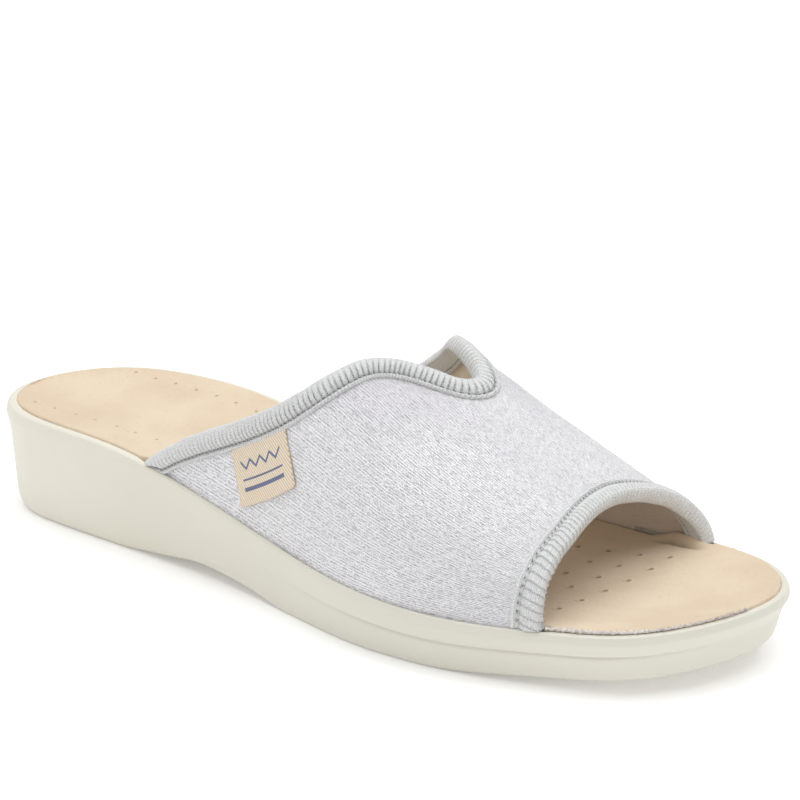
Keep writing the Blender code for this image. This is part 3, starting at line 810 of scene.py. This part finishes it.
def upperAt(x, u):  # u is 0 at the lateral rim, 1 on the ridge, 2 at the medial rim
    x, u = np.broadcast_arrays(np.asarray(x, float), np.asarray(u, float))
    near = u <= 1
    t = np.where(near, u, 2 - u)
    foot = np.where(near, lateralFoot(x), medialFoot(x))
    full = np.where(near, lateralFull(x), medialFull(x))
    rim, crown, ridge = rimHeight(x), crownHeight(x), ridgeY(x)
    below = np.minimum(t, 0)
    t = np.maximum(t, 0)
    a, b, c, d = (1 - t) ** 3, 3 * t * (1 - t) ** 2, 3 * t * t * (1 - t), t**3
    y = (a + b) * foot + c * (ridge + full * (foot - ridge)) + d * ridge
    z = a * rim + b * (rim + full * (crown - rim)) + (c + d) * crown + 3 * full * (crown - rim) * below
    return np.stack([x, y, z], axis=-1)


def slopesAt(x, u):
    dx, du = 0.05, 0.002
    along = (upperAt(x + dx, u) - upperAt(x - dx, u)) / (2 * dx)
    across = (upperAt(x, u + du) - upperAt(x, u - du)) / (2 * du)
    return along, across


def normalAt(x, u):
    return unit(np.cross(*slopesAt(x, u)))


def strideOver(x, u, heading, distance, step=0.25):  # the way each start takes over the cloth
    ways = [(x, u)]
    for _ in range(math.ceil(distance / step)):
        along, across = slopesAt(x, u)
        aa, ab, bb = (along**2).sum(-1), (along * across).sum(-1), (across**2).sum(-1)
        pa, pb = (along * heading).sum(-1), (across * heading).sum(-1)
        det = aa * bb - ab * ab
        x, u = x + step * (pa * bb - pb * ab) / det, u + step * (pb * aa - pa * ab) / det
        normal = normalAt(x, u)
        heading = unit(heading - normal * (heading * normal).sum(-1, keepdims=True))
        ways.append((x, u))
    return *np.swapaxes(ways, 0, 1), step


def readWay(way, distance):  # the place that far along, for each start
    columns = np.arange(way[0].shape[1])
    k = np.broadcast_to(np.clip(distance / way[2], 0, len(way[0]) - 1.001), len(columns))
    i, part = k.astype(int), k - k.astype(int)
    return [field[i, columns] + (field[i + 1, columns] - field[i, columns]) * part for field in way[:2]]


def pickWay(inWay, outWay, reach):
    forward, backward = readWay(inWay, np.maximum(reach, 0)), readWay(outWay, np.maximum(-reach, 0))
    return [np.where(reach >= 0, a, b) for a, b in zip(forward, backward)]


def edgeFrames(edge, u, inwards):
    du = 0.003
    x = edge(u)
    along = unit(upperAt(edge(u + du), u + du) - upperAt(edge(u - du), u - du))
    into = np.cross(normalAt(x, u), along)
    return x, along, into * np.sign(into[:, :1] * inwards)


def clothSheet(rows, columns, height, waves):  # points, faces, places on the cut cloth, painted shade by the collar
    us = np.linspace(0, 2, 800)
    across = lengthsAlong(upperAt(vamp["girthX"], us))
    u = np.interp(np.linspace(0, across[-1], rows), across, us)
    u = np.array([0, 0, *u, 2, 2])[:, None]
    drop = np.array([*vamp["tuck"], *np.zeros(rows), *vamp["tuck"][::-1]])[:, None]
    start, end = collarX(u) + vamp["spare"], toeX(u) - vamp["spare"]
    x = start + (end - start) * np.linspace(0, 1, columns)
    u = np.broadcast_to(u, x.shape)
    normal = normalAt(x, u)
    points = upperAt(x, u) + normal * height
    points[..., 2] -= drop
    swell = softNoise(points.reshape(-1, 3), vamp["waveSize"], 11) * waves
    points = points + normal * swell.reshape(*x.shape, 1)
    stations = np.arange(40, 240.0)
    runs = np.sqrt(1 + np.gradient(crownHeight(stations)) ** 2)
    alongX = np.interp(x, stations, np.cumsum(runs))
    acrossU = np.interp(u, us, across) - drop * np.sign(1 - u)
    # painted shade: the cloth darker towards the collar's top
    collarShade = np.interp(x - start, vamp["collarShade"], (1, 0))
    collarShade = collarShade * np.interp(np.abs(u - 1), vamp["collarShadeAcross"], (0, 1, 1, 0))
    cloth = np.stack([alongX, acrossU], axis=-1).reshape(-1, 2)
    return points.reshape(-1, 3), gridFaces(rows + 4, columns), cloth, {"collarShade": collarShade.ravel()}


def finishVamp():
    material, tree, shader = newFinish("vamp_cloth", 0.62, Sheen_Weight=0.2, Sheen_Roughness=0.45)
    tone, weave = woven(tree, 0.64, 1.4, vamp["toneGrain"], vamp["tone"])
    uneven = useGroup(tree, mottle, Place=placeOf(tree), Cloud=40.0, Grain=1500.0)
    tone = mixColour(tree, ramp(tree, uneven["Cloud"], 0.3, 0.7, 0.0, 0.12), tone, vamp["toneCloud"])
    # the weave's gaps, partly its pattern and partly painted shade
    tone = mixColour(tree, calc(tree, "MULTIPLY", weave["Gap"], 0.75), tone, vamp["toneGapShade"])
    # painted shade towards the collar's top
    tone = mixColour(tree, markOf(tree, "collarShade"), tone, vamp["toneCollarShade"], "MULTIPLY")
    tree.links.new(ramp(tree, weave["Grain"], 0.0, 1.0, 0.72, 0.5), shader.inputs["Roughness"])
    dress(tree, shader, tone, weave["Height"], 0.00022, 0.9)
    return material


def finishLining():
    material, tree, shader = newFinish("lining", 0.9)
    tone, weave = woven(tree, 0.7, 1.3, vamp["liningLow"], vamp["liningTone"])
    # painted light: the lining paler towards the back, behind the notch
    paintedLight = ramp(tree, splitXYZ(tree, placeOf(tree))[0], 0.035, 0.01)
    tone = mixColour(tree, paintedLight, tone, vamp["liningPaintedLight"])
    dress(tree, shader, tone, weave["Height"], 0.00012, 0.7)
    return material


def makeSheet(piece, thickness):  # a wall of the given thickness round the sheet
    wall = piece.modifiers.new("wall", "SOLIDIFY")
    wall.thickness = thickness * mm
    wall.offset = 0.0
    wall.use_even_offset = True


def buildVamp():
    outer, gap = vamp["cloth"], vamp["gap"]
    points, faces, cloth, marks = clothSheet(*vamp["grid"], -outer / 2, vamp["waves"])
    piece = makePiece("vamp", points, faces, finishVamp(), "upper", "upper", cloth, marks)
    makeSheet(piece, outer)
    inner = vamp["wall"] - outer - gap
    points, faces, cloth, _ = clothSheet(*vamp["liningGrid"], -outer - gap - inner / 2, 0.0)
    piece = makePiece("lining", points, faces, finishLining(), None, "upper", cloth)
    makeSheet(piece, inner)


buildVamp()
print("scene: vamp and lining sewn")


# bindings: one ribbed tape folded over each edge, stitched in a channel above its lip
tape = {
    "band": 4.0,
    "lip": 1.6,
    "leg": 5.4,
    "step": 0.2,
    "along": (0.0, 0.18, 0.35, 0.5, 0.7, 1.0),  # places along a tape, from its lateral end
    "collar": {
        "edge": collarX,
        "band": collarBand,
        "inwards": 1,
        "pitch": (1.6, 1.55, 1.5, 1.5, 1.5, 1.5),
        "depth": (0.14, 0.24, 0.34, 0.30, 0.12, 0.14),
        "spread": 1.0,  # how much of the band the ribs cross
        "ink": 1.0,  # how dark the painted shade in the grooves is
        "fade": 2.8,  # over how much of the band they fade towards the fold
        "flat": (0.12, 0.12, 0.12, 0.3, 0.9, 0.6),  # how much of them is left on the fold
        "line": 0.75,  # how dark the painted shade in the stitched channel is between them
        "rope": 1.0,  # how round and twisted the lip is, and how much painted shade lies between its strands
        "lip": 1.0,  # how wide it is
        "channel": 0.0,  # how much wider than usual the channel is
        "shoulder": 0.75,  # how slowly the ribs rise from it
        "lean": 0.05,  # how far the ribs run askew
    },
    "toe": {
        "edge": toeX,
        "band": toeBand,
        "inwards": -1,
        "pitch": (2.2, 2.15, 1.75, 1.4, 1.25, 1.2),
        "depth": (0.42, 0.42, 0.30, 0.15, 0.09, 0.08),
        "spread": (1.0, 1.0, 0.85, 0.55, 0.55, 0.6),
        "ink": 0.7,
        "fade": 0.8,
        "flat": 1.0,
        "line": 0.15,
        "rope": 0.5,
        "lip": (1.7, 1.45, 1.25, 1.1, 1.1, 1.1),
        "channel": 0.25,
        "shoulder": 1.3,
        "lean": (-0.34, -0.34, -0.25, -0.05, 0.0, 0.0),
    },
    "ribWidth": 0.26,
    "twist": 0.95,
    "stitchRadius": 0.15,
    "stitchSides": 8,
    "tone": linear(240, 241, 240),
    "toneLow": linear(190, 191, 191),
    # painted shade in the grooves, the stitched channel and the lip's twists
    "toneTapeShade": linear(86, 86, 86),
    "threadTone": linear(214, 215, 213),
    "threadLow": linear(186, 187, 186),
}


def tapeSection(form):  # inset from the edge, height off the cloth, part of the tape
    band, lip, leg, back = tape["band"], tape["lip"], tape["leg"], -vamp["wall"] - 0.25
    wider = form["channel"]
    rope = lip - 0.42 - wider
    rows = [(band + lip, -0.15, "lip")]
    for turn in np.linspace(0.25, math.pi - 0.2, 8):
        reach = lip - rope * (0.5 - 0.5 * math.cos(turn))
        rows.append((band + reach, 0.1 + 0.8 * math.sin(turn) ** 0.8, "lip"))
    rows += [(band + 0.36 + wider, 0.16, "channel"), (band + 0.12 + wider / 2, 0.05, "channel")]
    rows += [(band - 0.1, 0.18, "channel")]
    for share in np.linspace(0.06, 1, 17):
        rise = math.sin(math.pi / 2 * min(1.0, share / 0.5)) ** form["shoulder"]
        inset, height = band * (1 - share) - 0.35 * share - 0.1, 0.22 + 1.28 * rise - 0.12 * share**3
        rows.append((inset, height, "band"))
    for turn in np.linspace(0.22, math.pi - 0.22, 11):
        rows.append((-0.45 - 1.1 * math.sin(turn), -0.98 + 2.36 * math.cos(turn), "band"))
    for share in np.linspace(0.06, 0.64, 7):
        rows.append((leg * share, back - 0.95, "inner"))
    rows.append((leg * 0.70, back - 0.7, "channel"))
    for share, height in ((0.76, 1.05), (0.88, 1.2), (0.98, 0.9), (1.0, 0.1)):
        rows.append((leg * share, back - height, "lip"))
    return rows + [(-0.25, back, "leg"), (-0.25, 0.05, "leg"), (band / 2, 0.05, "leg")]


def tapeEnds(edge):
    ends = []
    for us in (np.linspace(0, 0.5, 400), np.linspace(2, 1.5, 400)):
        rise = upperAt(edge(us), us)[:, 2] - rimHeight(edge(us))
        ends.append(us[np.argmax(rise > 0.15)])
    return ends


def alongTape(share, values):
    return np.interp(share, tape["along"], np.broadcast_to(values, len(tape["along"])))


def ribLines(length, form):
    places = [0.6]
    while places[-1] < length:
        pitch = alongTape(places[-1] / length, form["pitch"])
        places.append(places[-1] + pitch * (1 + chance.uniform(-0.14, 0.14)))
    return np.array(places)


def finishTape():
    material, tree, shader = newFinish("ribbed_tape", 0.78, Sheen_Weight=0.15, Sheen_Roughness=0.5)
    fleck = ramp(tree, noiseAt(tree, clothOf(tree), 3.4, 2.0, 0.7, "2D"), 0.38, 0.58, 0.2, 1.0)
    # painted shade in the grooves between the ribs, the stitched channel and the lip's twists
    tapeShade = calc(tree, "MULTIPLY", markOf(tree, "groove"), fleck, clamp=True)
    tone, weave = woven(tree, 0.5, 0.8, tape["toneLow"], tape["tone"])
    tone = mixColour(tree, tapeShade, tone, tape["toneTapeShade"])
    dress(tree, shader, tone, weave["Height"], 0.00012, 0.7)
    return material


def finishThread():
    material, tree, shader = newFinish("thread", 0.7)
    twist = noiseAt(tree, placeOf(tree), 2500.0, 1.0)
    tone = mixColour(tree, twist, tape["threadLow"], tape["threadTone"])
    tree.links.new(tone, shader.inputs["Base Color"])
    return material


def buildTape(name, node, form, cover, thread):
    edge = form["edge"]
    us = np.linspace(*tapeEnds(edge), 4000)
    along = lengthsAlong(upperAt(edge(us), us))
    count = int(along[-1] / tape["step"])
    s = np.linspace(0, along[-1], count)
    u = np.interp(s, along, us)
    band = form["band"](u)
    x, _, into = edgeFrames(edge, u, form["inwards"])
    local = {key: alongTape(s / s[-1], form[key]) for key in ("depth", "spread", "flat", "lean", "lip")}
    width = band + tape["lip"] * local["lip"]
    inWay = strideOver(x, u, into, width.max() + 0.3)
    outWay = strideOver(x, u, -into, 2.2)
    low = upperAt(*inWay[:2])[..., 2] - rimHeight(inWay[0]) <= 0.1
    firstLow = np.where(low.any(axis=0), low.argmax(axis=0) * inWay[2], 99.0)
    narrowed = np.clip(firstLow / width, 0.06, 1.0)  # where it runs down to the rim
    ribs = ribLines(s[-1], form)
    section = tapeSection(form)
    profile = np.array([row[:2] for row in section])
    tangent = np.roll(profile, -1, axis=0) - np.roll(profile, 1, axis=0)
    outward = unit(np.column_stack([-tangent[:, 1], tangent[:, 0]]))
    girth = lengthsAlong(profile)
    rings, marks, cloth = [], [], []
    for (inset, height, part), (outIn, outUp), around in zip(section, outward, girth):
        press, mark = relief(form, part, inset, s, ribs, local)
        if part == "lip" and height > 0:
            height = height * form["rope"]
        reach, level = inset - outIn * press, height - outUp * press
        if height > -0.5:  # the outer side is as wide as the band is there
            past = np.maximum(reach - tape["band"], 0)
            wide = np.minimum(reach, tape["band"]) * band / tape["band"] + past * local["lip"]
            reach = np.where(reach > 0, wide, reach)
        here = pickWay(inWay, outWay, np.where(reach > 0, reach * narrowed, reach))
        rings.append(upperAt(*here) + normalAt(*here) * level[:, None])
        marks.append(mark)
        cloth.append(np.column_stack([s, np.full(count, around)]))
    points, cloth = np.stack(rings, axis=1).reshape(-1, 3), np.stack(cloth, axis=1).reshape(-1, 2)
    faces, marks = tubeFaces(count, len(section)), {"groove": np.stack(marks, axis=1).ravel()}
    makePiece(name, points, faces, cover, node, "binding", cloth, marks)
    stitch(name + "_thread", ribs, s, pickWay(inWay, outWay, band + 0.13), narrowed, thread)


def ribGroove(s, ribs):
    after = np.clip(np.searchsorted(ribs, s), 1, len(ribs) - 1)
    offset = np.minimum(np.abs(s - ribs[after]), np.abs(s - ribs[after - 1]))
    return bell(offset / tape["ribWidth"])


def relief(form, part, inset, s, ribs, local):  # how far a part is pressed in, and how much painted shade darkens it
    groove = ribGroove(s + local["lean"] * inset, ribs)
    if part == "band":
        shown = fadeIn(local["spread"] * tape["band"] + 0.4, inset, 0.8) if inset > 0 else 1.0
        fold = np.clip((inset + 0.7) / form["fade"], local["flat"], 1)  # pulled flat over the fold
        press = groove * local["depth"] * shown * fold - 0.07 * softNoise(s, 6.0, 21)
        return press, form["ink"] * groove * shown * fold * np.clip(local["depth"] / 0.3, 0.12, 1)
    if part == "inner":
        return 0.2 * groove * local["depth"], 0.1 * groove
    if part == "channel":
        hole = groove**0.35
        return 0.3 * hole, form["line"] + (1.3 - form["line"]) * hole
    if part == "lip":
        # the rope is pressed in and given painted shade between its strands
        turn = np.sin(2 * np.pi * (s / tape["twist"] + 0.55 * inset))
        return -0.12 * form["rope"] * turn, 0.5 * form["rope"] ** 2 * np.clip(-turn, 0, 1) ** 2
    return np.zeros(len(s)), np.zeros(len(s))


def stitch(name, ribs, s, channel, narrowed, thread):
    middles, halves = (ribs[:-1] + ribs[1:]) / 2, (ribs[1:] - ribs[:-1]) / 2 * 0.6
    at, meshes = np.linspace(-1, 1, 7), []
    thick = tape["stitchRadius"] * np.sqrt(np.clip(1 - at**6, 0.05, 1))
    faces = tubeFaces(len(at), tape["stitchSides"])
    for middle, half in zip(middles, halves):
        if middle > s[-1] - 1 or np.interp(middle, s, narrowed) < 0.98:
            continue
        xs, us = (np.interp(middle + at * half, s, field) for field in channel)
        normal = normalAt(xs, us)
        spine = upperAt(xs, us) + normal * (0.42 - 0.3 * at**4)[:, None]
        side = unit(np.cross(normal, np.gradient(spine, axis=0)))
        tube = spine[:, None] + thick[:, None, None] * circleOf(side, normal, tape["stitchSides"])
        meshes.append((tube.reshape(-1, 3), faces))
    makePiece(name, *joined(meshes), thread, None, "binding")


tapeCover, threadCover = finishTape(), finishThread()
buildTape("collar_tape", "collar_binding", tape["collar"], tapeCover, threadCover)
buildTape("toe_tape", "toe_binding", tape["toe"], tapeCover, threadCover)
print("scene: bindings folded and stitched")


# label: a bare twill tab with a plain woven motif
label = {
    "across": 0.284,
    "width": 21.5,
    "drop": 15.2,
    "tuck": 1.0,
    "flare": 0.21,  # it keeps its width down the rounded flank
    "lean": -0.085,  # and hangs a little towards the heel
    "thickness": 0.55,
    "steps": 48,
    "twill": 0.8,
    "zigzag": (2.0, 1.1, 3.6, 0.45),  # half a step, slope, place and half its width
    "lines": ((8.6, 0.28), (11.2, 0.55)),  # places and half widths
    "motifHalf": 8.0,
    "tone": linear(238, 224, 204),
    "toneLow": linear(203, 184, 160),
    "tonePale": linear(236, 220, 196),
    "ink": linear(62, 82, 134),
}


def finishLabel():
    material, tree, shader = newFinish("label_twill", 0.75)
    cloth = clothOf(tree)
    across, down, _ = splitXYZ(tree, cloth)
    slant = calc(tree, "SUBTRACT", across, calc(tree, "MULTIPLY", down, 0.5))
    twill = calc(tree, "SINE", calc(tree, "MULTIPLY", slant, 2 * math.pi / label["twill"]))
    rib = ramp(tree, twill, -0.9, 0.5)
    fray = noiseAt(tree, cloth, 2.2, 2.0, 0.6, "2D")
    tone = mixColour(tree, rib, label["toneLow"], label["tone"])
    tone = mixColour(tree, ramp(tree, fray, 0.35, 0.65, 0.0, 0.3), tone, label["tonePale"])
    # a zigzag over two plain lines
    step, slope, top, half = label["zigzag"]
    aside = calc(tree, "ABSOLUTE", across)
    zigzag = calc(tree, "MULTIPLY", calc(tree, "PINGPONG", aside, step), slope)
    mark = 0.0
    for level, half in ((calc(tree, "ADD", zigzag, top), half), *label["lines"]):
        off = calc(tree, "ABSOLUTE", calc(tree, "SUBTRACT", down, level))
        mark = calc(tree, "MAXIMUM", mark, ramp(tree, off, half + 0.1, half - 0.1))
    mark = calc(tree, "MULTIPLY", mark, calc(tree, "LESS_THAN", aside, label["motifHalf"]))
    tone = mixColour(tree, calc(tree, "MULTIPLY", mark, 0.85), tone, label["ink"])
    height = calc(tree, "ADD", rib, calc(tree, "MULTIPLY", fray, 0.4))
    dress(tree, shader, tone, height, 0.00012, 0.8)
    return material


def buildLabel():
    count, length = label["steps"] + 1, label["drop"] + label["tuck"] + 0.3
    us = np.linspace(label["across"] - 0.2, label["across"] + 0.2, 400)
    along = lengthsAlong(upperAt(collarX(us), us))
    along -= np.interp(label["across"], us, along)
    offsets = np.linspace(-0.5, 0.5, count) * label["width"]
    u = np.interp(offsets, along, us)
    x, _, into = edgeFrames(collarX, u, 1)
    _, side, middle = edgeFrames(collarX, np.array([label["across"]]), 1)
    tucked = collarBand(u) + tape["lip"] - label["tuck"]
    top = readWay(strideOver(x, u, into, 7.5), tucked)
    normal = normalAt(*top)
    fanned = middle + side * (label["lean"] + label["flare"] * offsets / label["width"])[:, None]
    down = unit(fanned - normal * (fanned * normal).sum(-1, keepdims=True))
    way = strideOver(*top, down, length)
    rows, cloth = [], []
    for drop in np.linspace(0, length, count):
        here = readWay(way, drop)
        spots = np.column_stack([offsets, np.full(count, drop)])
        curl = 0.5 * (drop / length) ** 3 * (0.4 + 0.6 * (offsets / label["width"] + 0.5))
        height = 0.4 + curl + 0.05 * softNoise(spots, 5.0, 31)
        rows.append(upperAt(*here) + normalAt(*here) * height[:, None])
        cloth.append(spots - (0, label["tuck"]))
    points, cloth = np.vstack(rows), np.vstack(cloth)
    faces = gridFaces(count, count)
    piece = makePiece("woven_label", points, faces, finishLabel(), "label", "label", cloth)
    makeSheet(piece, label["thickness"])


buildLabel()
print("scene: label sewn on")


# floor, light and camera
studio = {
    "floor": linear(250, 250, 250),
    "floorLow": linear(248, 248, 248),
    "floorGlow": 0.14,  # the table is lit from below
    "toeGlow": (0.23, (0.12, -0.02, 0.0), 0.02, 0.07),  # and more under the toe: glow, place, reach
    "world": 0.52,
    "key": (24.2, 2.2, (0.06, 0.14, 1.45)),  # watts, size, place
    "fill": (1.35, 1.2, (-0.8, -0.9, 0.8)),
    "target": (126.0, 0.0, 20.0),
    "azimuth": 38.67,
    "elevation": 21.41,
    "roll": -1.40,
    "distance": 1.094,
    "focal": 4015.0,  # in pixels
    "pixels": 800.0,
    "targetPixel": (376.3, 507.9),
}


def buildFloor():
    mesh = bpy.data.meshes.new("floor")
    mesh.from_pydata([(-4, -4, 0), (4, -4, 0), (4, 4, 0), (-4, 4, 0)], [], [(0, 1, 2, 3)])
    material, tree, shader = newFinish("floor", 0.9, Specular_IOR_Level=0.1, Emission_Color=(1, 1, 1, 1))
    place = placeOf(tree)
    toeGlow, spot, near, far = studio["toeGlow"]
    away = addNode(tree, "ShaderNodeVectorMath", {0: place, 1: spot}, operation="DISTANCE")
    glow = ramp(tree, away.outputs["Value"], near, far, toeGlow, studio["floorGlow"])
    tree.links.new(glow, shader.inputs["Emission Strength"])
    tone = mixColour(tree, noiseAt(tree, place, 400.0), studio["floorLow"], studio["floor"])
    tree.links.new(tone, shader.inputs["Base Color"])
    mesh.materials.append(material)
    floor = addObject("floor", mesh)


def addSoftbox(name, watts, size, place):
    lamp = bpy.data.lights.new(name, "AREA")
    lamp.energy, lamp.size = watts, size
    box = addObject(name, lamp)
    box.location = place
    box.rotation_euler = (-box.location).to_track_quat("-Z", "Y").to_euler()


def addCamera():
    a, e, roll = (math.radians(studio[key]) for key in ("azimuth", "elevation", "roll"))
    back = np.array([math.sin(a) * math.cos(e), -math.cos(a) * math.cos(e), math.sin(e)])
    right = np.array([math.cos(a), math.sin(a), 0.0])
    up = np.cross(back, right)
    c, s = math.cos(roll), math.sin(roll)
    right, up = c * right + s * up, c * up - s * right
    place = (np.array(studio["target"]) - centre) * mm + studio["distance"] * back
    # turn the camera so that the target falls on its pixel and the lens stays centred
    middle, (pixelX, pixelY) = studio["pixels"] / 2, studio["targetPixel"]
    back = unit(back * studio["focal"] - right * (middle - pixelX) - up * (pixelY - middle))
    right = unit(right - back * (right @ back))
    up = np.cross(back, right)
    camera = bpy.data.cameras.new("camera")
    camera.lens = camera.sensor_width * studio["focal"] / studio["pixels"]
    holder = addObject("camera", camera)
    holder.matrix_world = Matrix([*np.column_stack([right, up, back, place]).tolist(), [0, 0, 0, 1]])
    bpy.context.scene.camera = holder


def lightWorld():
    scene = bpy.context.scene
    scene.world = scene.world or bpy.data.worlds.new("studio")
    scene.world.use_nodes = True
    sky = scene.world.node_tree.nodes["Background"]
    sky.inputs["Color"].default_value = (1, 1, 1, 1)
    sky.inputs["Strength"].default_value = studio["world"]
    scene.view_settings.view_transform = "Standard"


buildFloor()
addSoftbox("key", *studio["key"])
addSoftbox("fill", *studio["fill"])
addCamera()
lightWorld()
print("scene: floor, light and camera set")
